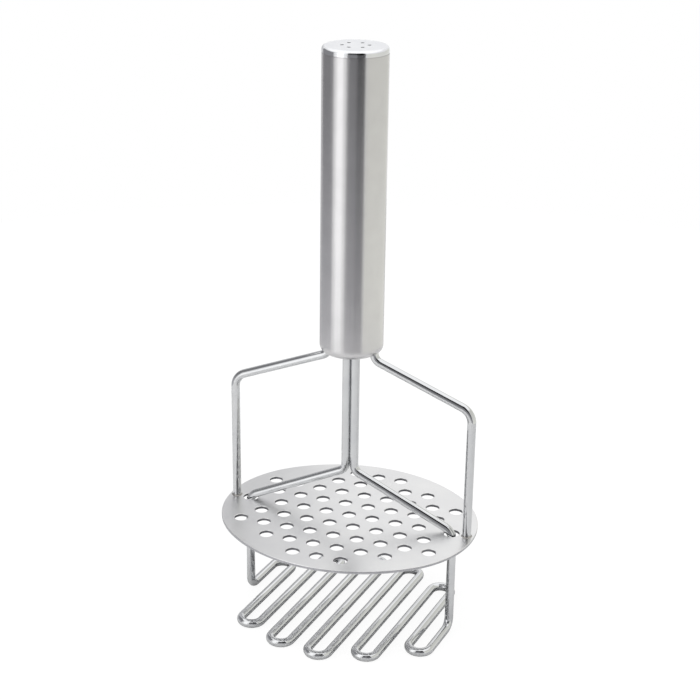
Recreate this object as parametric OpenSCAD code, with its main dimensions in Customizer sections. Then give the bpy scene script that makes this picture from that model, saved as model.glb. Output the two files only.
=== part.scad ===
// Spring-loaded potato masher: an oval perforated plate hangs from a tube handle on two bent wires,
// and a zigzag grid bent from one wire slides up towards it against a spring inside the handle.
// The origin lies on the ground under the middle of the grid.

/* [Handle] */
// Outer diameter of the handle tube
grip_d = 25; // [22:0.5:34]
// Length of the handle from its rounded end to the top of the cap
handle_length = 119.4; // [100:0.2:160]
// Wall of the handle tube
grip_wall = 1; // [0.8:0.1:1.5]
// Rounding of the closed lower end
grip_end_radius = 3; // [2:0.1:4]
// Height of the cap that shows above its seam
cap_height = 2.4; // [2:0.1:4]
// Rounding of the cap's upper edge
cap_edge_radius = 1.4; // [0.5:0.1:1.8]
// Sheet thickness of the cap
cap_wall = 1.2; // [0.8:0.1:1.6]
// Depth of the cap's skirt inside the tube
cap_skirt_depth = 6; // [4:0.5:12]
// Number of vent holes in the cap
vent_count = 6; // [3:1:8]
// Diameter of a vent hole
vent_d = 1.5; // [1:0.1:2]
// Diameter of the circle that the vent holes lie on
vent_circle_d = 10; // [7:0.5:10.5]
// Turn of the ring of vent holes from the hangers' plane, in degrees
vent_turn = 20; // [0:5:60]

/* [Wire] */
// Diameter of the hanger wires and of the press wire
wire_d = 3.5; // [2.5:0.1:4]

/* [Plate] */
// Width of the oval plate, from hanger to hanger
plate_width = 106; // [106:0.5:125]
// Depth of the oval plate, from front to back
plate_depth = 92; // [88:0.5:104]
// How far the oval's long sides bulge out past its end arcs
side_bulge = 4.5; // [2:0.5:9]
// Sheet thickness of the plate
plate_thickness = 1.2; // [0.8:0.1:2]
// Diameter of the mash holes
mash_hole_d = 5.5; // [3:0.1:6.5]
// Spacing of the mash holes along a row
hole_pitch_x = 10; // [9:0.1:14]
// Spacing of the rows of mash holes
hole_pitch_y = 9.2; // [8:0.1:12]
// Least distance from the centre of a mash hole to the plate's rim
rim_land = 7.2; // [6:0.1:12]
// Diameter of the two holes that the press wire's legs slide in
leg_hole_d = 6.4; // [6.2:0.1:8]
// How far a leg hole lies nearer the middle than its leg, to clear the shoulder bend
leg_hole_inset = 0.4; // [0.3:0.1:0.7]

/* [Hangers] */
// Height of the handle's lower end above the plate
handle_rise = 72.4; // [64:0.2:95]
// Distance between the two hangers' upright legs
hanger_spacing = 100; // [98:0.5:104]
// Gap between a hanger's tail and the handle tube's bore
tail_clearance = 0.25; // [0.1:0.05:0.8]
// Slope of the hanger arms below level, in degrees
hanger_slope = 21.5; // [10:0.5:30]
// Bend at the handle, on the wire's centre line
tail_bend_radius = 4; // [3:0.5:6]
// Bend at the outer corner, on the wire's centre line
hanger_bend_radius = 6.5; // [4:0.5:10]
// Width of the weld fillet round a hanger's foot
weld_leg = 0.5; // [0.3:0.1:1]

/* [Press wire] */
// Free gap between the plate's underside and the grid below it
press_gap = 39.6; // [25:0.2:50]
// Distance between the two rods that run up into the handle
rod_spacing = 3.6; // [3.6:0.1:4.5]
// Distance between the two legs that pass through the plate
leg_spacing = 88.2; // [84:0.2:88.6]
// Slope of the press arms below level, in degrees
arm_slope = 25; // [15:0.5:30]
// Bend under the rods, on the wire's centre line
crotch_bend_radius = 4; // [3:0.5:8]
// Bend at the outer end of an arm, on the wire's centre line
shoulder_bend_radius = 5.5; // [4.5:0.1:6]
// Clearance between a resting arm and the edge of its leg hole
arm_clearance = 0.4; // [0.3:0.1:2]
// Bend from a leg into the grid, on the wire's centre line
foot_bend_radius = 4; // [3:0.5:6]
// Turn of the grid's runs away from square to the plate, in degrees
run_skew = 5.3; // [0:0.1:8]
// Reach of each front U-turn, left to right, in shares of half the plate's depth
front_turn_shares = [0.69, 0.85, 0.88, 0.72, 0.44];

/* [Mechanism] */
// Height of the guide plug in the handle's lower end
guide_height = 12; // [8:0.5:20]
// Height of the ferrule that clamps the two rods together
ferrule_height = 5; // [3:0.5:8]
// Wall of the ferrule
ferrule_wall = 1; // [0.8:0.1:1.5]
// Thickness of the slider's flange
slider_flange = 4; // [3:0.5:8]
// Height of the boss that centres the spring, on the slider and on the seat
spring_boss_height = 4; // [2:0.5:6]
// Thickness of the washer under the rod ends
washer_thickness = 1; // [0.6:0.1:2]
// Width of the step between the washer's rim and the boss under it
washer_step = 1; // [0.5:0.1:1.5]
// Height of the weld that joins the rod ends
rod_weld_height = 1; // [0.5:0.1:1.5]
// Diameter of the spring's wire
spring_wire_d = 1.4; // [1:0.1:1.6]
// Gap between the spring and the cap's skirt round it
spring_clearance = 0.95; // [0.4:0.05:1.4]
// Number of turns in the spring
spring_turns = 22; // [12:1:24]
// Thickness of the seat ring's flange under the cap
seat_flange = 2; // [1:0.5:4]
// Wall of the seat ring's boss
seat_wall = 1.4; // [1:0.1:1.6]

/* [Hidden] */
// Radial gap of pieces that are pressed or fixed together
fixed_fit = 0.05;
// Radial gap of pieces that slide in each other
sliding_fit = 0.2;
// Gap between the ferrule and the plug that stops it
stop_gap = 0.3;
// Gap between the spring's ends and what they bear on
spring_end_gap = 0.1;
// How far a cut runs past the faces it opens
overrun = 1;
// What the wire loses of its diameter where it is drawn round a bend
bend_thinning = 0.02;
// How far a straight runs over the bend next to it
bend_lap = 0.05;
$fn = 96;
// Facets of a hole in the plate
hole_facets = 48;

// Heights above the ground
grid_z = wire_d / 2;
plate_z = wire_d + press_gap;
plate_top_z = plate_z + plate_thickness;
grip_z = plate_top_z + handle_rise;
grip_floor_z = grip_z + grip_wall;
handle_top_z = grip_z + handle_length;
cap_z = handle_top_z - cap_height;
guide_top_z = grip_floor_z + guide_height;
ferrule_z = guide_top_z + stop_gap;
slider_z = ferrule_z + ferrule_height;
slider_top_z = slider_z + slider_flange;
washer_z = slider_top_z + spring_boss_height;
rod_top_z = washer_z + washer_thickness;
seat_top_z = handle_top_z - cap_wall;
seat_z = seat_top_z - seat_flange;

// Radii in the handle
grip_r = grip_d / 2;
bore_r = grip_r - grip_wall;
skirt_r = bore_r - fixed_fit;
skirt_bore_r = skirt_r - cap_wall;
spring_mean_r = skirt_bore_r - spring_clearance - spring_wire_d / 2;

// Places across the plate
hanger_x = hanger_spacing / 2;
tail_x = bore_r - tail_clearance - wire_d / 2;
rod_x = rod_spacing / 2;
leg_x = leg_spacing / 2;
leg_hole_x = leg_x - leg_hole_inset;
leg_hole_edge_x = leg_hole_x - leg_hole_d / 2;

// Hanger: the arm runs straight between its two bends
tail_length = guide_height;
hanger_turn = 90 - hanger_slope;
arm_start_x = tail_x + tail_bend_radius * (1 - sin(hanger_slope));
arm_end_x = hanger_x - hanger_bend_radius * (1 - sin(hanger_slope));
arm_start_z = grip_z - tail_bend_radius * cos(hanger_slope);
arm_end_z = arm_start_z - (arm_end_x - arm_start_x) * tan(hanger_slope);
hanger_arm_length = (arm_end_x - arm_start_x) / cos(hanger_slope);
hanger_drop = arm_end_z - hanger_bend_radius * cos(hanger_slope) - plate_top_z;

// Press wire: a resting arm passes the edge of its leg hole with the arm clearance
press_turn = 90 - arm_slope;
arm_over_edge_z = plate_top_z + (wire_d / 2 + arm_clearance) / cos(arm_slope);
crotch_end_x = rod_x + crotch_bend_radius * (1 - sin(arm_slope));
shoulder_start_x = leg_x - shoulder_bend_radius * (1 - sin(arm_slope));
crotch_end_z = arm_over_edge_z + (leg_hole_edge_x - crotch_end_x) * tan(arm_slope);
shoulder_start_z = arm_over_edge_z + (leg_hole_edge_x - shoulder_start_x) * tan(arm_slope);
crotch_start_z = crotch_end_z + crotch_bend_radius * cos(arm_slope);
shoulder_end_z = shoulder_start_z - shoulder_bend_radius * cos(arm_slope);
press_arm_length = (shoulder_start_x - crotch_end_x) / cos(arm_slope);
leg_length = shoulder_end_z - grid_z - foot_bend_radius;

// Grid: the runs are counted from the left leg, and the back mirrors the front end for end
turns_per_side = len(front_turn_shares);
run_pitch = leg_spacing * cos(run_skew) / (2 * turns_per_side);
turn_radius = run_pitch / 2;
leg_run_y = leg_x * sin(run_skew);
function turn_share(i) = i % 2 == 1 ? front_turn_shares[turns_per_side - (i + 1) / 2]
    : front_turn_shares[i / 2 - 1];
function turn_y(i) = turn_share(i) * plate_depth / 2 - turn_radius;

// Oval: the end arcs meet two flatter side arcs without a corner
plate_end_radius = plate_depth / 2 - side_bulge;
end_arc_x = plate_width / 2 - plate_end_radius;
side_arc_y = (end_arc_x * end_arc_x - side_bulge * side_bulge) / (2 * side_bulge);
side_arc_r = side_arc_y + plate_depth / 2;
arc_joint_x = end_arc_x * side_arc_r / (side_arc_r - plate_end_radius);
// Distance from a point in the oval to its rim
function rim_gap(x, y) = side_arc_y * (x - end_arc_x) > end_arc_x * y
    ? plate_end_radius - norm([x - end_arc_x, y])
    : side_arc_r - norm([x, y + side_arc_y]);
// Least distance from a mash hole's centre to a leg hole's centre or a hanger's foot
leg_hole_land = (leg_hole_d + mash_hole_d) / 2 + plate_thickness;
hanger_land = mash_hole_d / 2 + wire_d / 2 + weld_leg;
function hole_fits(x, y) = rim_gap(abs(x), abs(y)) >= rim_land
    && norm([abs(x) - leg_hole_x, y]) > leg_hole_land
    && norm([abs(x) - hanger_x, y]) > hanger_land;
row_reach = ceil(plate_depth / 2 / hole_pitch_y);
row_half_count = ceil(plate_width / 2 / hole_pitch_x);
// The middle row and every second row from it have a hole on the centre line
mash_holes = [
    for (row = [-row_reach : row_reach], i = [-row_half_count : row_half_count])
        let (x = (i + (row % 2 == 0 ? 0 : 1 / 2)) * hole_pitch_x, y = row * hole_pitch_y)
            if (hole_fits(x, y)) [x, y]
];

// Spring: the points of one unbroken helical tube
SPRING_RINGS = 8;
SPRING_SIDES = 6;
// The tube's straight facets come nearer the axis than its rings do
boss_r = cos(180 / SPRING_RINGS) * spring_mean_r - spring_wire_d / 2 - sliding_fit;
spring_low_z = slider_top_z + spring_end_gap + spring_wire_d / 2;
spring_high_z = seat_z - spring_end_gap - spring_wire_d / 2;
spring_pitch = (spring_high_z - spring_low_z) / spring_turns;
spring_lead = atan(spring_pitch / (2 * PI * spring_mean_r));
spring_last = SPRING_RINGS * spring_turns;
function spring_centre(i) = let (a = 360 * i / SPRING_RINGS)
    [cos(a) * spring_mean_r, sin(a) * spring_mean_r, spring_low_z + spring_pitch * i / SPRING_RINGS];
function spring_ring(i) = let (
        a = 360 * i / SPRING_RINGS,
        out = [cos(a), sin(a), 0],
        up = [sin(a) * sin(spring_lead), -cos(a) * sin(spring_lead), cos(spring_lead)]
    )
    [for (k = [0 : SPRING_SIDES - 1]) let (b = 360 * k / SPRING_SIDES)
        spring_centre(i) + spring_wire_d / 2 * (cos(b) * out + sin(b) * up)];
// The turns above a ring within one turn and a half are its nearest neighbours
spring_gap = min([for (i = [0 : SPRING_RINGS], j = [SPRING_RINGS / 2 : SPRING_RINGS * 3 / 2])
    norm(spring_centre(i + j) - spring_centre(i))]) - spring_wire_d;
echo(least_gap_between_spring_turns_mm = spring_gap);

// A bar of wire drawn from the origin along +Z. Each step is [straight length, roll before the bend,
// bend radius, bend angle], and the last step is a straight length alone.
module bent_wire(steps, i = 0) {
    start_lap = i == 0 ? 0 : bend_lap;
    end_lap = i == len(steps) - 1 ? 0 : bend_lap;
    translate([0, 0, -start_lap])
        cylinder(h = start_lap + steps[i][0] + end_lap, d = wire_d);
    if (i < len(steps) - 1) {
        radius = steps[i][2];
        turn = steps[i][3];
        translate([0, 0, steps[i][0]])
            rotate([0, 0, steps[i][1]]) {
                translate([radius, 0, 0])
                    rotate([90, 0, 180])
                        rotate_extrude(angle = turn)
                            translate([radius, 0])
                                circle(d = wire_d - bend_thinning);
                translate([radius * (1 - cos(turn)), 0, radius * sin(turn)])
                    rotate([0, turn, 0])
                        bent_wire(steps, i + 1);
            }
    }
}

// Half profile of a round bar with one rounded lower edge
module rounded_profile(radius, height, edge) {
    square([radius - edge, height]);
    translate([0, edge])
        square([radius, height - edge]);
    intersection() {
        translate([radius - edge, edge])
            circle(r = edge);
        translate([radius - edge, 0])
            square(edge);
    }
}

// Rods side by side: two bores joined into one slot
module rod_slot(height, gap) {
    width = wire_d + 2 * gap;
    for (side = [-1, 1])
        translate([side * rod_x, 0, 0])
            cylinder(h = height, d = width);
    translate([-rod_x, -width / 2, 0])
        cube([rod_spacing, width, height]);
}

module handle_shell() {
    inner_edge = grip_end_radius - grip_wall;
    color("gainsboro")
        difference() {
            translate([0, 0, grip_z])
                rotate_extrude()
                    rounded_profile(grip_r, cap_z - grip_z, grip_end_radius);
            translate([0, 0, grip_floor_z])
                rotate_extrude()
                    rounded_profile(bore_r, cap_z - grip_floor_z + overrun, inner_edge);
            // The hangers' tails come in through the rounded edge
            for (side = [-1, 1])
                translate([side * tail_x, 0, grip_z - overrun])
                    cylinder(h = overrun + grip_end_radius, r = wire_d / 2 + fixed_fit);
            translate([0, 0, grip_z - overrun])
                rod_slot(grip_wall + 2 * overrun, 2 * sliding_fit);
        }
}

module handle_cap() {
    color("whitesmoke")
        difference() {
            union() {
                translate([0, 0, handle_top_z])
                    mirror([0, 0, 1])
                        rotate_extrude()
                            rounded_profile(grip_r, cap_height, cap_edge_radius);
                translate([0, 0, cap_z - cap_skirt_depth])
                    cylinder(h = cap_skirt_depth, r = skirt_r);
            }
            translate([0, 0, cap_z - cap_skirt_depth - overrun])
                cylinder(h = cap_skirt_depth + overrun + cap_height - cap_wall, r = skirt_bore_r);
            for (i = [0 : vent_count - 1])
                rotate([0, 0, vent_turn + 360 * i / vent_count])
                    translate([vent_circle_d / 2, 0, seat_top_z - overrun])
                        cylinder(h = cap_wall + 2 * overrun, d = vent_d);
        }
}

// One hanger with its arm towards +X, from its tail in the handle down to its foot on the plate
module hanger() {
    translate([tail_x, 0, grip_z + tail_length])
        rotate([180, 0, 0])
            bent_wire([
                [tail_length, 0, tail_bend_radius, hanger_turn],
                [hanger_arm_length, 180, hanger_bend_radius, hanger_turn],
                [hanger_drop]
            ]);
    translate([hanger_x, 0, plate_top_z])
        cylinder(h = weld_leg, r1 = wire_d / 2 + weld_leg, d2 = wire_d - bend_thinning);
}

module hanger_left() {
    color("silver")
        rotate([0, 0, 180])
            hanger();
}

module hanger_right() {
    color("silver")
        hanger();
}

module oval() {
    arc_facets = 2 * $fn;
    for (side = [-1, 1])
        translate([side * end_arc_x, 0])
            circle(r = plate_end_radius, $fn = arc_facets);
    intersection() {
        translate([0, side_arc_y])
            circle(r = side_arc_r, $fn = arc_facets);
        translate([0, -side_arc_y])
            circle(r = side_arc_r, $fn = arc_facets);
        translate([-arc_joint_x, -plate_depth / 2])
            square([2 * arc_joint_x, plate_depth]);
    }
}

module mashing_plate() {
    color("lightgray")
        translate([0, 0, plate_z])
            linear_extrude(plate_thickness)
                difference() {
                    oval();
                    for (place = mash_holes)
                        translate(place)
                            circle(d = mash_hole_d, $fn = hole_facets);
                    for (side = [-1, 1])
                        translate([side * leg_hole_x, 0])
                            circle(d = leg_hole_d, $fn = hole_facets);
                }
}

module press_wire() {
    // Down the left rod, arm and leg and through the grid's turns up to the middle run
    half = concat(
        [
            [rod_top_z - crotch_start_z, 180, crotch_bend_radius, press_turn],
            [press_arm_length, 180, shoulder_bend_radius, press_turn],
            [leg_length, run_skew - 90, foot_bend_radius, 90]
        ],
        [for (i = [1 : turns_per_side])
            [
                i == 1 ? turn_y(1) + leg_run_y - foot_bend_radius : turn_y(i - 1) + turn_y(i),
                i == 1 ? 90 : 180,
                turn_radius,
                180
            ]]
    );
    last = len(half) - 1;
    middle_run = 2 * turn_y(turns_per_side);
    // The other half takes the same bends in the opposite order
    way_back = [for (i = [last : -1 : 0])
        [
            i == last ? middle_run : half[i + 1][0],
            i == last ? 180 : half[i + 1][1],
            half[i][2],
            half[i][3]
        ]];
    color("silver") {
        translate([-rod_x, 0, rod_top_z])
            rotate([180, 0, 0])
                bent_wire(concat(half, way_back, [[half[0][0]]]));
        // The weld that joins the rod ends over the washer
        translate([0, 0, rod_top_z])
            rod_slot(rod_weld_height, rod_weld_height / 2);
    }
}

module guide_plug() {
    tail_groove_r = wire_d / 2 + fixed_fit;
    color("dimgray")
        translate([0, 0, grip_floor_z])
            difference() {
                rotate_extrude()
                    rounded_profile(bore_r - fixed_fit, guide_height, grip_end_radius);
                translate([0, 0, -overrun])
                    rod_slot(guide_height + 2 * overrun, sliding_fit);
                // Grooves for the hangers' tails, open at the rim
                for (side = [0, 180])
                    rotate([0, 0, side])
                        translate([tail_x, 0, -overrun]) {
                            cylinder(h = guide_height + 2 * overrun, r = tail_groove_r);
                            translate([0, -tail_groove_r, 0])
                                cube([grip_r, 2 * tail_groove_r, guide_height + 2 * overrun]);
                        }
            }
}

module rod_ferrule() {
    color("darkgray")
        translate([0, 0, ferrule_z])
            difference() {
                rod_slot(ferrule_height, ferrule_wall);
                translate([0, 0, -overrun])
                    rod_slot(ferrule_height + 2 * overrun, fixed_fit);
            }
}

module spring_slider() {
    color("dimgray")
        translate([0, 0, slider_z])
            difference() {
                union() {
                    cylinder(h = slider_flange, r = bore_r - sliding_fit);
                    cylinder(h = slider_flange + spring_boss_height, r = boss_r);
                }
                translate([0, 0, -overrun])
                    rod_slot(slider_flange + spring_boss_height + 2 * overrun, fixed_fit);
            }
}

module slider_washer() {
    color("darkgray")
        translate([0, 0, washer_z])
            difference() {
                cylinder(h = washer_thickness, r = boss_r - washer_step);
                translate([0, 0, -overrun])
                    rod_slot(washer_thickness + 2 * overrun, fixed_fit);
            }
}

module return_spring() {
    ring_points = [for (i = [0 : spring_last]) each spring_ring(i)];
    sides = [
        for (i = [0 : spring_last - 1], k = [0 : SPRING_SIDES - 1])
            let (a = i * SPRING_SIDES + k, b = i * SPRING_SIDES + (k + 1) % SPRING_SIDES)
                each [[a, a + SPRING_SIDES, b], [b, a + SPRING_SIDES, b + SPRING_SIDES]]
    ];
    first_end = [for (k = [1 : SPRING_SIDES - 2]) [0, k, k + 1]];
    last_start = spring_last * SPRING_SIDES;
    last_end = [for (k = [1 : SPRING_SIDES - 2]) [last_start, last_start + k + 1, last_start + k]];
    color("lightsteelblue")
        polyhedron(ring_points, concat(first_end, sides, last_end));
}

module spring_seat() {
    color("dimgray")
        difference() {
            union() {
                translate([0, 0, seat_z])
                    cylinder(h = seat_flange, r = skirt_bore_r - fixed_fit);
                translate([0, 0, seat_z - spring_boss_height])
                    cylinder(h = spring_boss_height, r = boss_r);
            }
            translate([0, 0, seat_z - spring_boss_height - overrun])
                cylinder(h = spring_boss_height + seat_flange + 2 * overrun, r = boss_r - seat_wall);
        }
}

handle_shell();
handle_cap();
hanger_left();
hanger_right();
mashing_plate();
press_wire();
guide_plug();
rod_ferrule();
spring_slider();
slider_washer();
return_spring();
spring_seat();
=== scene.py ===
# Spring-loaded potato masher in stainless steel, on a white table
from math import atan2, cos, degrees, hypot, pi, radians, sin, tan

import bmesh
import bpy
from mathutils import Matrix, Vector


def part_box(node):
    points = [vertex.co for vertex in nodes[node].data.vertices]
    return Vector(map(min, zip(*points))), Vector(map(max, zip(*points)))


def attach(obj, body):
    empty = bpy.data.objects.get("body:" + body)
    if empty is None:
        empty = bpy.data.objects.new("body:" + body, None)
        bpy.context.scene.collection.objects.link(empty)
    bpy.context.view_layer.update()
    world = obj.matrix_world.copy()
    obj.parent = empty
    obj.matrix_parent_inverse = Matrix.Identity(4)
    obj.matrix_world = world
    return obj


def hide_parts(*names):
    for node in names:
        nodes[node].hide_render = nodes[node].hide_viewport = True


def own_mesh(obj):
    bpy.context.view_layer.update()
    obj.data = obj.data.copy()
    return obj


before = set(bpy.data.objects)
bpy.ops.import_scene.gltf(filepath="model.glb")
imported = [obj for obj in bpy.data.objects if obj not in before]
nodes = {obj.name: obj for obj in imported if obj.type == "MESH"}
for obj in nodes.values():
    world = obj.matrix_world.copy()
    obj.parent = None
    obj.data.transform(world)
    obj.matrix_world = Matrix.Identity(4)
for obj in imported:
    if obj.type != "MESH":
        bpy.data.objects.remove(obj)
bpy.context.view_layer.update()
print("loaded", len(nodes), "parts")

# Pieces are drawn in millimetres and shrunk to metres when they are finished
millimetre = 0.001


def heightOf(node, corner):
    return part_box(node)[corner].z / millimetre


# Camera, at the photograph's angle
camera = {
    "place": (192.27, -531.2, 341.5),  # millimetres
    "turn": 19.954,  # degrees round the object, from the front towards the right
    "tilt": 21.70,  # degrees down
    "roll": 0.796,
    "lens": 79.75,
    "sensor": 36.0,
    "clip": (0.01, 20),  # metres
}


def addCamera():
    turn, tilt, roll = (radians(camera[key]) for key in ("turn", "tilt", "roll"))
    back = Vector((sin(turn) * cos(tilt), -cos(turn) * cos(tilt), sin(tilt)))
    right = Vector((cos(turn), sin(turn), 0))
    up = back.cross(right)
    rolledRight = right * cos(roll) + up * sin(roll)
    rolledUp = up * cos(roll) - right * sin(roll)
    data = bpy.data.cameras.new("camera")
    data.lens = camera["lens"]
    data.sensor_width = camera["sensor"]
    data.clip_start, data.clip_end = camera["clip"]
    obj = bpy.data.objects.new("camera", data)
    bpy.context.scene.collection.objects.link(obj)
    axes = Matrix((rolledRight, rolledUp, back)).transposed().to_4x4()
    obj.matrix_world = Matrix.Translation(Vector(camera["place"]) * millimetre) @ axes
    bpy.context.scene.camera = obj


addCamera()
bpy.context.scene.view_settings.view_transform = "Standard"
print("camera placed")


# Colours and materials
def linearColour(hexCode):
    # The numbers are those of the sRGB curve
    shares = [int(hexCode[i : i + 2], 16) / 255 for i in (1, 3, 5)]
    linear = (s / 12.92 if s <= 0.04045 else ((s + 0.055) / 1.055) ** 2.4 for s in shares)
    return (*linear, 1)


def addNode(tree, kind, settings=None, links=None):
    node = tree.nodes.new(kind)
    for key, value in (settings or {}).items():
        if key in node.inputs:
            node.inputs[key].default_value = value
        else:
            setattr(node, key, value)
    for key, source in (links or {}).items():
        tree.links.new(source, node.inputs[key])
    return node


def newMaterial(name):
    material = bpy.data.materials.new(name)
    material.use_nodes = True
    material.node_tree.nodes.clear()
    return material, material.node_tree


# Nearly all values of the noise lie between these two
noiseRange = (0.3, 0.7)


def addGrain(tree, spacing, stretch):
    # One noise cell is as wide as the grain's real spacing in millimetres
    place = addNode(tree, "ShaderNodeTexCoord")
    scale = tuple(1 / (spacing * millimetre * share) for share in stretch)
    mapped = addNode(tree, "ShaderNodeMapping", {"Scale": scale}, {"Vector": place.outputs["Object"]})
    noise = {"Scale": 1, "Detail": 2, "Roughness": 0.6}
    return addNode(tree, "ShaderNodeTexNoise", noise, {"Vector": mapped.outputs[0]})


def addHeight(tree):
    place = addNode(tree, "ShaderNodeTexCoord")
    parts = addNode(tree, "ShaderNodeSeparateXYZ", None, {"Vector": place.outputs["Object"]})
    return parts.outputs["Z"]


def addRamp(tree, source, start, end, low, high):
    ends = {"From Min": start, "From Max": end, "To Min": low, "To Max": high}
    return addNode(tree, "ShaderNodeMapRange", ends, {"Value": source}).outputs[0]


def steelMaterial(name, look):
    material, tree = newMaterial(name)
    grain = addGrain(tree, look["grainSpacing"], look["grainStretch"])
    cloud = addGrain(tree, look["cloudSpacing"], (1, 1, 1))
    if "faceDepths" in look:
        source = addHeight(tree)
        start, end = ((heightOf("handle_cap", 1) - depth) * millimetre for depth in look["faceDepths"])
    else:
        source = grain.outputs[0]
        start, end = noiseRange
    finish = addRamp(tree, source, start, end, *look["roughness"])
    tone = addNode(tree, "ShaderNodeValToRGB", None, {"Fac": cloud.outputs[0]})
    for stop, position, key in zip(tone.color_ramp.elements, noiseRange, ("shade", "colour")):
        stop.position = position
        stop.color = linearColour(look[key])
    relief = {"Strength": look["bump"], "Distance": look["bumpDepth"] * millimetre}
    bump = addNode(tree, "ShaderNodeBump", relief, {"Height": grain.outputs[0]})
    shader = addNode(
        tree,
        "ShaderNodeBsdfPrincipled",
        {"Metallic": 1},
        {"Base Color": tone.outputs[0], "Roughness": finish, "Normal": bump.outputs[0]},
    )
    addNode(tree, "ShaderNodeOutputMaterial", None, {"Surface": shader.outputs[0]})
    return material


# Drawn stainless tube, satin finished: soft bands with faint draw lines along it
satinTube = steelMaterial(
    "drawnStainlessTube",
    {
        "colour": "#d0cfd0",
        "shade": "#cbcacb",
        "roughness": (0.2, 0.26),
        "grainSpacing": 0.35,
        "grainStretch": (1, 1, 120),
        "cloudSpacing": 9,
        "bump": 0.3,
        "bumpDepth": 0.004,
    },
)
# Cold-rolled stainless sheet, satin finished: even and light, with a fine dull grain
satinSheet = steelMaterial(
    "satinStainlessSheet",
    {
        "colour": "#dedede",
        "shade": "#d8d8d9",
        "roughness": (0.3, 0.38),
        "grainSpacing": 0.3,
        "grainStretch": (6, 1, 1),
        "cloudSpacing": 14,
        "bump": 0.2,
        "bumpDepth": 0.004,
    },
)
# Stainless wire, electropolished: sharp streaks of what stands round it
brightWire = steelMaterial(
    "electropolishedStainlessWire",
    {
        "colour": "#d2d3d4",
        "shade": "#cbccce",
        "roughness": (0.05, 0.08),
        "grainSpacing": 0.8,
        "grainStretch": (1, 1, 1),
        "cloudSpacing": 6,
        "bump": 0.05,
        "bumpDepth": 0.004,
    },
)
# Pressed stainless sheet: the cap's rim is polished and shines, its flat face is brushed and softer
brightSheet = steelMaterial(
    "polishedStainlessSheet",
    {
        "colour": "#e2e3e5",
        "shade": "#dcdde0",
        "roughness": (0.15, 0.5),  # of the rim and of the face
        "faceDepths": (0.3, 0.05),  # millimetres below the face, from the one finish to the other
        "grainSpacing": 0.3,
        "grainStretch": (1, 5, 1),
        "cloudSpacing": 6,
        "bump": 0.1,
        "bumpDepth": 0.004,
    },
)
# The plate's rim: sheared, then deburred to a dull grey
shearedSteel = steelMaterial(
    "shearedStainlessEdge",
    {
        "colour": "#b4b4b8",
        "shade": "#a6a6aa",
        "roughness": (0.25, 0.35),
        "grainSpacing": 0.15,
        "grainStretch": (1, 1, 6),
        "cloudSpacing": 3,
        "bump": 0.2,
        "bumpDepth": 0.01,
    },
)
# Walls of the punched holes: rough and somewhat dull where the punch tore the metal, with painted
# shade making their colour darker still inside the holes
punchedSteelPaintedShade = steelMaterial(
    "punchedStainlessEdgePaintedShade",
    {
        "colour": "#7c7c80",
        "shade": "#626266",
        "roughness": (0.3, 0.45),
        "grainSpacing": 0.15,
        "grainStretch": (1, 1, 6),
        "cloudSpacing": 3,
        "bump": 0.3,
        "bumpDepth": 0.01,
    },
)
# Weld metal at the wires' feet: dull, with the brown of the heat left in it
weldedSteel = steelMaterial(
    "weldedStainlessSteel",
    {
        "colour": "#aeacaa",
        "shade": "#8e8a86",
        "roughness": (0.3, 0.5),
        "grainSpacing": 0.3,
        "grainStretch": (1, 1, 1),
        "cloudSpacing": 1,
        "bump": 0.5,
        "bumpDepth": 0.03,
    },
)
# Spring wire, drawn and oiled
springSteel = steelMaterial(
    "drawnSpringSteel",
    {
        "colour": "#b9bbbd",
        "shade": "#a9abae",
        "roughness": (0.2, 0.3),
        "grainSpacing": 0.3,
        "grainStretch": (1, 1, 1),
        "cloudSpacing": 4,
        "bump": 0.1,
        "bumpDepth": 0.004,
    },
)
# Turned mild steel, zinc plated: dull and slightly blue
zincSteel = steelMaterial(
    "zincPlatedSteel",
    {
        "colour": "#a9abad",
        "shade": "#999b9e",
        "roughness": (0.35, 0.5),
        "grainSpacing": 0.2,
        "grainStretch": (1, 1, 1),
        "cloudSpacing": 3,
        "bump": 0.1,
        "bumpDepth": 0.004,
    },
)
# Moulded black nylon: soft sheen over a fine spark-eroded texture
mouldedNylon = {
    "colour": "#26272a",
    "ior": 1.53,
    "roughness": (0.42, 0.55),
    "grainSpacing": 0.15,
    "bump": 0.2,
    "bumpDepth": 0.02,
}


def nylonMaterial():
    look = mouldedNylon
    material, tree = newMaterial("mouldedNylon")
    grain = addGrain(tree, look["grainSpacing"], (1, 1, 1))
    finish = addRamp(tree, grain.outputs[0], *noiseRange, *look["roughness"])
    relief = {"Strength": look["bump"], "Distance": look["bumpDepth"] * millimetre}
    bump = addNode(tree, "ShaderNodeBump", relief, {"Height": grain.outputs[0]})
    shader = addNode(
        tree,
        "ShaderNodeBsdfPrincipled",
        {"Base Color": linearColour(look["colour"]), "IOR": look["ior"]},
        {"Roughness": finish, "Normal": bump.outputs[0]},
    )
    addNode(tree, "ShaderNodeOutputMaterial", None, {"Surface": shader.outputs[0]})
    return material


nylon = nylonMaterial()
print("materials made")

# Drawing tools
samePoint = 0.01  # millimetres: points that lie closer are one
sharpAngle = 50  # degrees: an edge that turns less is shaded smooth


def vertsIn(geometry):
    return [item for item in geometry if isinstance(item, bmesh.types.BMVert)]


def edgesIn(geometry):
    return [item for item in geometry if isinstance(item, bmesh.types.BMEdge)]


def drawLine(bm, point, move):
    end = bmesh.ops.extrude_vert_indiv(bm, verts=[point])["verts"][0]
    end.co += Vector(move)
    return end


def drawArc(bm, point, centre, axis, angle, steps):
    made = bmesh.ops.spin(bm, geom=[point], cent=centre, axis=axis, angle=radians(angle), steps=steps)
    return vertsIn(made["geom_last"])[0]


def spinProfile(bm, steps):
    outline = bm.verts[:] + bm.edges[:]
    bmesh.ops.spin(
        bm, geom=outline, cent=(0, 0, 0), axis=(0, 0, 1), angle=2 * pi, steps=steps, use_merge=True
    )
    bmesh.ops.remove_doubles(bm, verts=bm.verts[:], dist=samePoint)


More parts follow.
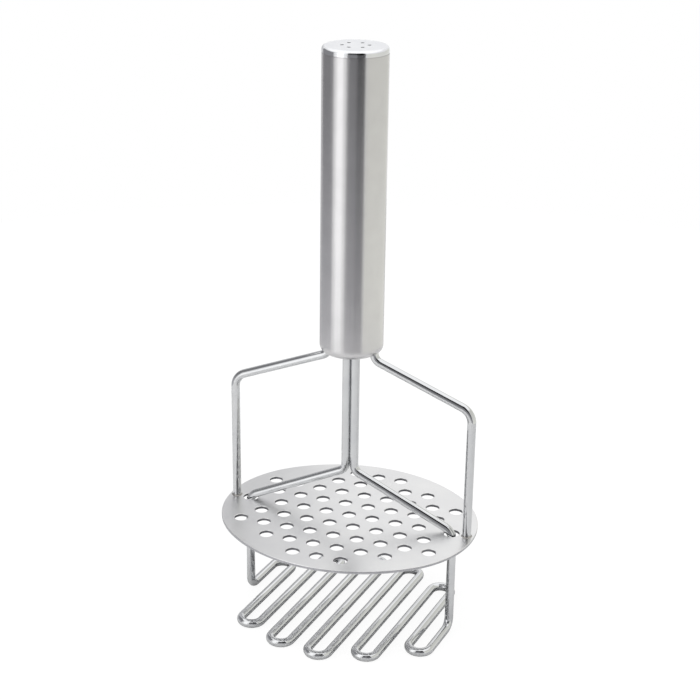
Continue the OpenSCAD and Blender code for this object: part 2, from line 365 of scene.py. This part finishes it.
def finishPiece(bm, name, materials, body, replaced=None):
    bmesh.ops.recalc_face_normals(bm, faces=bm.faces[:])
    for edge in bm.edges:
        edge.smooth = edge.calc_face_angle(0) < radians(sharpAngle)
    bmesh.ops.scale(bm, vec=(millimetre,) * 3, verts=bm.verts[:])
    mesh = bpy.data.meshes.new(name)
    bm.to_mesh(mesh)
    bm.free()
    piece = bpy.data.objects.new(name, mesh)
    bpy.context.scene.collection.objects.link(piece)
    for material in materials:
        mesh.materials.append(material)
    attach(piece, body)
    if replaced:
        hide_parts(replaced)
    return piece


# Plate
plate = {
    "width": 106,
    "depth": 92,
    "thickness": 1.2,
    "sideBulge": 4.5,
    "holeDiameter": 5.5,
    "pitchX": 10,
    "pitchY": 9.2,
    "rimLand": 7.2,
    # Places to each side of the middle one: those too near the rim or a leg's hole are left out
    "rowsEachSide": 5,
    "holesEachSide": 6,
    "holeSides": 40,
    "endSteps": 60,
    "sideSteps": 48,
    "edgeRound": 0.2,
    "roundSteps": 2,
    "rimWall": 1,  # a wall nearer the outline than this is the rim's
    "levelFrom": 0.99,  # from this much Z in its normal on, a face is level and shaded flat
    "wallUpTo": 0.3,  # and up to this much it is a wall
}

# Bent wires
wire = {
    "diameter": 3.5,
    "sides": 32,
    "bendSteps": 14,
    "turnSteps": 24,
    "turnAngle": 120,  # degrees: a bend past this is a turn
}


def bendWire(bm, start, steps):
    # Each step is [straight length, roll before the bend, bend radius, bend angle], the last a length
    bmesh.ops.create_circle(
        bm, cap_ends=False, segments=wire["sides"], radius=wire["diameter"] / 2, matrix=start
    )
    firstRing = bm.edges[:]
    ring = firstRing
    place = start.copy()
    for step in steps:
        made = bmesh.ops.extrude_edge_only(bm, edges=ring)["geom"]
        move = place.to_3x3() @ Vector((0, 0, step[0]))
        bmesh.ops.translate(bm, vec=move, verts=vertsIn(made))
        ring = [edge for edge in edgesIn(made) if edge.is_boundary]
        place = place @ Matrix.Translation((0, 0, step[0]))
        if len(step) == 1:
            continue
        roll, bend, angle = radians(step[1]), step[2], radians(step[3])
        place = place @ Matrix.Rotation(roll, 4, "Z")
        outline = ring + list({vert for edge in ring for vert in edge.verts})
        made = bmesh.ops.spin(
            bm,
            geom=outline,
            cent=place @ Vector((bend, 0, 0)),
            axis=place.to_3x3() @ Vector((0, 1, 0)),
            angle=angle,
            steps=wire["turnSteps"] if step[3] > wire["turnAngle"] else wire["bendSteps"],
        )["geom_last"]
        ring = edgesIn(made)
        corner = Vector((bend * (1 - cos(angle)), 0, bend * sin(angle)))
        place = place @ Matrix.Translation(corner) @ Matrix.Rotation(angle, 4, "Y")
    for edges in (firstRing, ring):
        bmesh.ops.holes_fill(bm, edges=edges, sides=wire["sides"])
    # The two ends stay flat
    for face in bm.faces:
        face.smooth = len(face.verts) == 4


plateTop = heightOf("mashing_plate", 1)
gripBottom = heightOf("handle_shell", 0)
facingDown = Matrix.Rotation(pi, 4, "X")

hanger = {
    "spacing": 100,
    "tailSpacing": 19,
    "tailLength": 12,
    "slope": 21.5,  # degrees below level
    "tailBend": 4,
    "cornerBend": 6.5,
    "weldLeg": 0.5,
    "weldSteps": 5,
}


def addWeld(bm, foot):
    # A hollow fillet round the wire's foot
    radius, leg = wire["diameter"] / 2, hanger["weldLeg"]
    inside = radius - leg / 2
    turned = foot.to_3x3()
    old = set(bm.faces)
    first = bm.verts.new(foot @ Vector((inside, 0, 0)))
    point = drawLine(bm, first, turned @ Vector((radius + leg - inside, 0, 0)))
    centre = foot @ Vector((radius + leg, 0, leg))
    point = drawArc(bm, point, centre, turned @ Vector((0, 1, 0)), 90, hanger["weldSteps"])
    point = drawLine(bm, point, turned @ Vector((inside - radius, 0, 0)))
    bm.edges.new((point, first))
    loose = [edge for edge in bm.edges if edge.is_wire]
    bmesh.ops.spin(
        bm,
        geom=loose + list({vert for edge in loose for vert in edge.verts}),
        cent=foot.to_translation(),
        axis=(0, 0, 1),
        angle=2 * pi,
        steps=wire["sides"],
        use_merge=True,
    )
    for face in set(bm.faces) - old:
        face.material_index = 1
        face.smooth = True


def addHanger(name, node, turn):
    slope = radians(hanger["slope"])
    armStart = hanger["tailSpacing"] / 2 + hanger["tailBend"] * (1 - sin(slope))
    armEnd = hanger["spacing"] / 2 - hanger["cornerBend"] * (1 - sin(slope))
    armDrop = (armEnd - armStart) * tan(slope)
    bends = (hanger["tailBend"] + hanger["cornerBend"]) * cos(slope)
    upright = gripBottom - plateTop - armDrop - bends
    bend = 90 - hanger["slope"]
    bm = bmesh.new()
    side = Matrix.Rotation(turn, 4, "Z")
    top = Matrix.Translation((hanger["tailSpacing"] / 2, 0, gripBottom + hanger["tailLength"]))
    bendWire(
        bm,
        side @ top @ facingDown,
        [
            [hanger["tailLength"], 0, hanger["tailBend"], bend],
            [(armEnd - armStart) / cos(slope), 180, hanger["cornerBend"], bend],
            [upright],
        ],
    )
    addWeld(bm, side @ Matrix.Translation((hanger["spacing"] / 2, 0, plateTop)))
    finishPiece(bm, name, (brightWire, weldedSteel), "handle_frame", node)


addHanger("hangerRight", "hanger_right", 0)
addHanger("hangerLeft", "hanger_left", pi)

press = {
    "rodSpacing": 3.6,
    "legSpacing": 88.2,
    "armSlope": 25,  # degrees below level
    "crotchBend": 4,
    "shoulderBend": 5.5,
    "footBend": 4,
    "armClearance": 0.4,
    "legHole": 6.4,
    "legHoleInset": 0.4,  # the holes stand this much further in than the legs
    "skew": 5.3,  # degrees that the grid's runs are turned from square
    "frontTurnShares": (0.69, 0.85, 0.88, 0.72, 0.44),  # of half the plate's depth
}


def addPressWire():
    slope, skew = radians(press["armSlope"]), radians(press["skew"])
    legX, rodX = press["legSpacing"] / 2, press["rodSpacing"] / 2
    radius = wire["diameter"] / 2
    holeEdge = legX - press["legHoleInset"] - press["legHole"] / 2
    overEdge = plateTop + (radius + press["armClearance"]) / cos(slope)
    armStart = rodX + press["crotchBend"] * (1 - sin(slope))
    armEnd = legX - press["shoulderBend"] * (1 - sin(slope))
    rodEnd = overEdge + (holeEdge - armStart) * tan(slope) + press["crotchBend"] * cos(slope)
    legStart = overEdge + (holeEdge - armEnd) * tan(slope) - press["shoulderBend"] * cos(slope)
    rodTop = heightOf("slider_washer", 1)
    shares = press["frontTurnShares"]
    turnRadius = press["legSpacing"] * cos(skew) / (4 * len(shares))
    reach = []
    for turn in range(len(shares)):
        # From the left leg on: even turns are at the back, and mirror the front ones end for end
        share = shares[-1 - turn // 2] if turn % 2 == 0 else shares[turn // 2]
        reach.append(share * plate["depth"] / 2 - turnRadius)
    angle = 90 - press["armSlope"]
    half = [
        [rodTop - rodEnd, 180, press["crotchBend"], angle],
        [(armEnd - armStart) / cos(slope), 180, press["shoulderBend"], angle],
        [legStart - radius - press["footBend"], press["skew"] - 90, press["footBend"], 90],
        [reach[0] + legX * sin(skew) - press["footBend"], 90, turnRadius, 180],
    ]
    for near, far in zip(reach, reach[1:]):
        half.append([near + far, 180, turnRadius, 180])
    lengths = [step[0] for step in half] + [2 * reach[-1]]
    rolls = [step[1] for step in half] + [180]
    # The other half takes the same bends in the opposite order
    wayBack = [[lengths[i + 1], rolls[i + 1]] + half[i][2:] for i in reversed(range(len(half)))]
    bm = bmesh.new()
    start = Matrix.Translation((-rodX, 0, rodTop)) @ facingDown
    bendWire(bm, start, half + wayBack + [[lengths[0]]])
    finishPiece(bm, "pressWire", (brightWire,), "press", "press_wire")


addPressWire()
print("wires bent")


# Plate outline and holes
def ovalSizes():
    endRadius = plate["depth"] / 2 - plate["sideBulge"]
    endX = plate["width"] / 2 - endRadius
    sideY = (endX**2 - plate["sideBulge"] ** 2) / (2 * plate["sideBulge"])
    return endRadius, endX, sideY, sideY + plate["depth"] / 2


def rimGap(x, y):
    endRadius, endX, sideY, sideRadius = ovalSizes()
    if sideY * (abs(x) - endX) > endX * abs(y):
        return endRadius - hypot(abs(x) - endX, y)
    return sideRadius - hypot(x, abs(y) + sideY)


def mashHoles():
    legX = press["legSpacing"] / 2 - press["legHoleInset"]
    legLand = (press["legHole"] + plate["holeDiameter"]) / 2 + plate["thickness"]
    holes = []
    for row in range(-plate["rowsEachSide"], plate["rowsEachSide"] + 1):
        for column in range(-plate["holesEachSide"], plate["holesEachSide"] + 1):
            x = (column + (row % 2) / 2) * plate["pitchX"]
            y = row * plate["pitchY"]
            if rimGap(x, y) >= plate["rimLand"] and hypot(abs(x) - legX, y) > legLand:
                holes.append((x, y))
    return holes


def addPlate():
    endRadius, endX, sideY, sideRadius = ovalSizes()
    half = degrees(atan2(endX, sideY))  # half the angle that a side arc spans
    bm = bmesh.new()
    up = (0, 0, 1)
    # From the right end of the front arc, all round against the clock
    cornerX, cornerY = sideRadius * sin(radians(half)), sideY - sideRadius * cos(radians(half))
    point = bm.verts.new((cornerX, cornerY, plateTop))
    for side in (1, -1):
        point = drawArc(bm, point, (side * endX, 0, plateTop), up, 180 - 2 * half, plate["endSteps"])
        point = drawArc(bm, point, (0, -side * sideY, plateTop), up, 2 * half, plate["sideSteps"])
    bmesh.ops.remove_doubles(bm, verts=bm.verts[:], dist=samePoint)
    legX = press["legSpacing"] / 2 - press["legHoleInset"]
    cuts = [(x, y, plate["holeDiameter"]) for x, y in mashHoles()]
    cuts += [(side * legX, 0, press["legHole"]) for side in (-1, 1)]
    for x, y, diameter in cuts:
        place = Matrix.Translation((x, y, plateTop))
        bmesh.ops.create_circle(
            bm, cap_ends=False, segments=plate["holeSides"], radius=diameter / 2, matrix=place
        )
    bmesh.ops.triangle_fill(bm, use_beauty=True, use_dissolve=False, edges=bm.edges[:], normal=up)
    made = bmesh.ops.extrude_face_region(bm, geom=bm.faces[:])["geom"]
    bmesh.ops.translate(bm, vec=(0, 0, -plate["thickness"]), verts=vertsIn(made))
    bmesh.ops.recalc_face_normals(bm, faces=bm.faces[:])
    bmesh.ops.bevel(
        bm,
        geom=[edge for edge in bm.edges if edge.calc_face_angle(0) > radians(sharpAngle)],
        offset=plate["edgeRound"],
        affect="EDGES",
        segments=plate["roundSteps"],
        profile=0.5,
        material=-1,
        clamp_overlap=True,
    )
    for face in bm.faces:
        level = abs(face.normal.z)
        face.smooth = level < plate["levelFrom"]
        if level < plate["wallUpTo"]:
            middle = face.calc_center_median()
            # Hole walls take the punched edge, whose dark colour is partly painted shade inside the
            # holes
            face.material_index = 1 if rimGap(middle.x, middle.y) < plate["rimWall"] else 2
    metals = (satinSheet, shearedSteel, punchedSteelPaintedShade)
    finishPiece(bm, "perforatedPlate", metals, "handle_frame", "mashing_plate")


addPlate()
print("plate punched")


# Handle
grip = {
    "diameter": 25,
    "wall": 1,
    "endRound": 3,
    "seam": 0.3,
    "slotClearance": 0.4,
    "floorDisc": 5,  # radius of the middle of the floor, which the slot is cut in
    "steps": 128,
    "roundSteps": 12,
    "slotSteps": 16,
}


def addRodSlot(bm, height):
    # The outline of the slot that both rods pass through
    reach, radius = press["rodSpacing"] / 2, wire["diameter"] / 2 + grip["slotClearance"]
    old = set(bm.edges)
    first = bm.verts.new((reach, -radius, height))
    point = drawArc(bm, first, (reach, 0, height), (0, 0, 1), 180, grip["slotSteps"])
    point = drawLine(bm, point, (-2 * reach, 0, 0))
    point = drawArc(bm, point, (-reach, 0, height), (0, 0, 1), 180, grip["slotSteps"])
    bm.edges.new((point, first))
    return [edge for edge in bm.edges if edge not in old]


def addShell():
    wall, seam, rounding = grip["wall"], grip["seam"], grip["endRound"]
    bottom, length = gripBottom, heightOf("handle_shell", 1) - gripBottom
    centreX = grip["diameter"] / 2 - rounding
    centre = (centreX, 0, bottom + rounding)
    across = (0, -1, 0)
    bm = bmesh.new()
    point = bm.verts.new((grip["floorDisc"], 0, bottom))
    point = drawLine(bm, point, (centreX - grip["floorDisc"], 0, 0))
    point = drawArc(bm, point, centre, across, 90, grip["roundSteps"])
    # A short length first keeps the long wall's shading straight
    point = drawLine(bm, point, (0, 0, wall))
    point = drawLine(bm, point, (0, 0, length - rounding - wall - seam))
    # The groove under the cap shows as its seam
    point = drawLine(bm, point, (-seam, 0, 0))
    point = drawLine(bm, point, (0, 0, seam))
    point = drawLine(bm, point, (seam - wall, 0, 0))
    point = drawLine(bm, point, (0, 0, rounding - length))
    point = drawArc(bm, point, centre, across, -90, grip["roundSteps"])
    drawLine(bm, point, (grip["floorDisc"] - centreX, 0, 0))
    spinProfile(bm, grip["steps"])
    slots = []
    for height in (bottom, bottom + wall):
        edges = [edge for edge in bm.edges if edge.is_boundary]
        ring = [edge for edge in edges if abs(edge.verts[0].co.z - height) < wall / 2]
        slot = addRodSlot(bm, height)
        bmesh.ops.triangle_fill(
            bm, use_beauty=True, use_dissolve=False, edges=ring + slot, normal=(0, 0, 1)
        )
        slots += slot
    bmesh.ops.bridge_loops(bm, edges=slots)
    for face in bm.faces:
        face.smooth = True
    finishPiece(bm, "gripTube", (satinTube,), "handle_frame", "handle_shell")


addShell()
print("handle turned")


# Return spring, which shortens as the press slides up
spring = {"wire": 1.4, "meanDiameter": 17.2, "turns": 22, "turnSteps": 24, "sides": 12}


def addSpring():
    low, high = heightOf("return_spring", 0), heightOf("return_spring", 1)
    wireRadius, meanRadius = spring["wire"] / 2, spring["meanDiameter"] / 2
    pitch = (high - low - spring["wire"]) / spring["turns"]
    lead = atan2(pitch, 2 * pi * meanRadius)
    start = Matrix.Translation((meanRadius, 0, low + wireRadius))
    start = start @ Matrix.Rotation(lead - pi / 2, 4, "X")
    bm = bmesh.new()
    bmesh.ops.create_circle(
        bm, cap_ends=False, segments=spring["sides"], radius=wireRadius, matrix=start
    )
    firstRing = bm.edges[:]
    made = bmesh.ops.spin(
        bm,
        geom=bm.verts[:] + firstRing,
        cent=(0, 0, 0),
        axis=(0, 0, 1),
        dvec=(0, 0, pitch / spring["turnSteps"]),
        angle=2 * pi * spring["turns"],
        steps=spring["turns"] * spring["turnSteps"],
    )["geom_last"]
    lastRing = edgesIn(made)
    for face in bm.faces:
        face.smooth = True
    for edges in (firstRing, lastRing):
        bmesh.ops.holes_fill(bm, edges=edges, sides=spring["sides"])
    metals = (springSteel,)
    piece = finishPiece(bm, "returnSpring", metals, "handle_frame", "return_spring")
    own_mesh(piece)


addSpring()
print("spring wound")

# The other parts keep their shapes from the model
for node, material in (
    ("handle_cap", brightSheet),
    ("guide_plug", nylon),
    ("spring_slider", nylon),
    ("spring_seat", nylon),
    ("rod_ferrule", zincSteel),
    ("slider_washer", zincSteel),
):
    for slot in nodes[node].material_slots:
        slot.material = material

# Studio: white table and surroundings, soft boxes and dark cards that only reflections show
studio = {
    "tableRadius": 600,
    "tableSides": 96,
    "tableColour": "#c6c6c6",
    "tableGlow": 1.08,
    "tableGlowShare": 0.85,  # of what the camera sees: the rest is the matt table with its shadow
    "daylight": 0.9,
    "horizon": 1,  # how bright metal sees the room low down
    "overhead": 1.35,  # and above
    "overheadRise": (28, 40),  # degrees above level between which the one becomes the other
    "boxAim": (0, 0, 100),  # the point that both soft boxes face
    "softBoxes": [
        {"name": "softBoxLeft", "place": (-500, -650, 350), "size": (500, 600), "power": 4},
        {"name": "softBoxTop", "place": (0, -100, 900), "size": (700, 500), "power": 5},
    ],
    # Cards stand round the object: degrees from the camera's side, positive to its right,
    # and the light's level at the table and from the ramp's height up
    "cardRadius": 300,
    "cardSteps": 24,
    "cards": [
        {
            "name": "cardCamera",
            "from": -27,
            "to": 6,
            "height": 520,
            "levels": (0.56, 0.07),
            "ramp": 310,
            "colour": "#eeeef2",
        },
        {
            "name": "cardCameraRight",
            "from": 6,
            "to": 34,
            "height": 520,
            "levels": (0.48, 0),
            "ramp": 230,
            "colour": "#eeeef2",
        },
        {
            "name": "cardKey",
            "from": -64,
            "to": -39,
            "height": 520,
            "levels": (1.43, 1.5),
            "ramp": 180,
            "colour": "#ffffff",
        },
        {
            "name": "cardLeft",
            "from": -140,
            "to": -76.5,
            "height": 350,
            "levels": (0.69, 0.31),
            "ramp": 155,
            "colour": "#f2f2f6",
        },
        {
            "name": "cardRight",
            "from": 38,
            "to": 150,
            "height": 300,
            "levels": (1.02, 0.86),
            "ramp": 180,
            "colour": "#fcfcf5",
        },
        {
            "name": "cardBack",
            "from": -175,
            "to": -142,
            "height": 300,
            "levels": (0.6, 0.73),
            "ramp": 180,
            "colour": "#f8f8fa",
        },
    ],
}


def cardMaterial(card):
    material, tree = newMaterial(card["name"])
    level = addRamp(tree, addHeight(tree), 0, card["ramp"] * millimetre, *card["levels"])
    colour = linearColour(card["colour"])
    glow = addNode(tree, "ShaderNodeEmission", {"Color": colour}, {"Strength": level})
    addNode(tree, "ShaderNodeOutputMaterial", None, {"Surface": glow.outputs[0]})
    return material


def stagePiece(bm, name, material):
    bmesh.ops.scale(bm, vec=(millimetre,) * 3, verts=bm.verts[:])
    mesh = bpy.data.meshes.new(name)
    bm.to_mesh(mesh)
    bm.free()
    mesh.materials.append(material)
    obj = bpy.data.objects.new(name, mesh)
    bpy.context.scene.collection.objects.link(obj)
    return obj


def addCard(card):
    start, radius = radians(camera["turn"] - 90 + card["from"]), studio["cardRadius"]
    bm = bmesh.new()
    foot = bm.verts.new((radius * cos(start), radius * sin(start), 0))
    drawLine(bm, foot, (0, 0, card["height"]))
    bmesh.ops.spin(
        bm,
        geom=bm.verts[:] + bm.edges[:],
        cent=(0, 0, 0),
        axis=(0, 0, 1),
        angle=radians(card["to"] - card["from"]),
        steps=studio["cardSteps"],
    )
    obj = stagePiece(bm, card["name"], cardMaterial(card))
    obj.visible_camera = False
    obj.visible_diffuse = False
    obj.visible_shadow = False


for card in studio["cards"]:
    addCard(card)


def seenByEye(tree):
    # One for camera, glossy and transmission rays, so metal shows the same background
    rays = addNode(tree, "ShaderNodeLightPath")
    both = addNode(tree, "ShaderNodeMath", {"operation": "MAXIMUM"})
    tree.links.new(rays.outputs["Is Camera Ray"], both.inputs[0])
    tree.links.new(rays.outputs["Is Glossy Ray"], both.inputs[1])
    every = addNode(tree, "ShaderNodeMath", {"operation": "MAXIMUM"})
    tree.links.new(both.outputs[0], every.inputs[0])
    tree.links.new(rays.outputs["Is Transmission Ray"], every.inputs[1])
    return every.outputs[0]


def addTable():
    material, tree = newMaterial("whiteTable")
    matt = addNode(tree, "ShaderNodeBsdfDiffuse", {"Color": linearColour(studio["tableColour"])})
    white = addNode(tree, "ShaderNodeEmission", {"Strength": studio["tableGlow"]})
    rays = addNode(tree, "ShaderNodeLightPath")
    share = addNode(tree, "ShaderNodeMath", {"operation": "MULTIPLY"})
    tree.links.new(rays.outputs["Is Camera Ray"], share.inputs[0])
    share.inputs[1].default_value = studio["tableGlowShare"]
    mix = addNode(tree, "ShaderNodeMixShader", None, {"Fac": share.outputs[0]})
    tree.links.new(matt.outputs[0], mix.inputs[1])
    tree.links.new(white.outputs[0], mix.inputs[2])
    addNode(tree, "ShaderNodeOutputMaterial", None, {"Surface": mix.outputs[0]})
    bm = bmesh.new()
    bmesh.ops.create_circle(
        bm, cap_ends=True, segments=studio["tableSides"], radius=studio["tableRadius"]
    )
    stagePiece(bm, "whiteTable", material)


def addWorld():
    world = bpy.data.worlds.new("whiteRoom")
    world.use_nodes = True
    tree = world.node_tree
    tree.nodes.clear()
    place = addNode(tree, "ShaderNodeTexCoord")
    parts = addNode(tree, "ShaderNodeSeparateXYZ", None, {"Vector": place.outputs["Generated"]})
    start, end = (sin(radians(angle)) for angle in studio["overheadRise"])
    level = addRamp(tree, parts.outputs["Z"], start, end, studio["horizon"], studio["overhead"])
    room = addNode(tree, "ShaderNodeBackground", {"Strength": studio["daylight"]})
    seen = addNode(tree, "ShaderNodeBackground", None, {"Strength": level})
    for node in (room, seen):
        node.inputs["Color"].default_value = linearColour("#ffffff")
    mix = addNode(tree, "ShaderNodeMixShader", None, {"Fac": seenByEye(tree)})
    tree.links.new(room.outputs[0], mix.inputs[1])
    tree.links.new(seen.outputs[0], mix.inputs[2])
    addNode(tree, "ShaderNodeOutputWorld", None, {"Surface": mix.outputs[0]})
    bpy.context.scene.world = world


def addSoftBox(box):
    data = bpy.data.lights.new(box["name"], "AREA")
    data.shape = "RECTANGLE"
    data.size, data.size_y = (side * millimetre for side in box["size"])
    data.energy = box["power"]
    obj = bpy.data.objects.new(box["name"], data)
    bpy.context.scene.collection.objects.link(obj)
    obj.location = Vector(box["place"]) * millimetre
    aim = Vector(studio["boxAim"]) * millimetre - obj.location
    obj.rotation_mode = "QUATERNION"
    obj.rotation_quaternion = aim.to_track_quat("-Z", "Y")
    obj.visible_camera = False
    obj.visible_glossy = False


addTable()
addWorld()
for box in studio["softBoxes"]:
    addSoftBox(box)
print("studio lit")
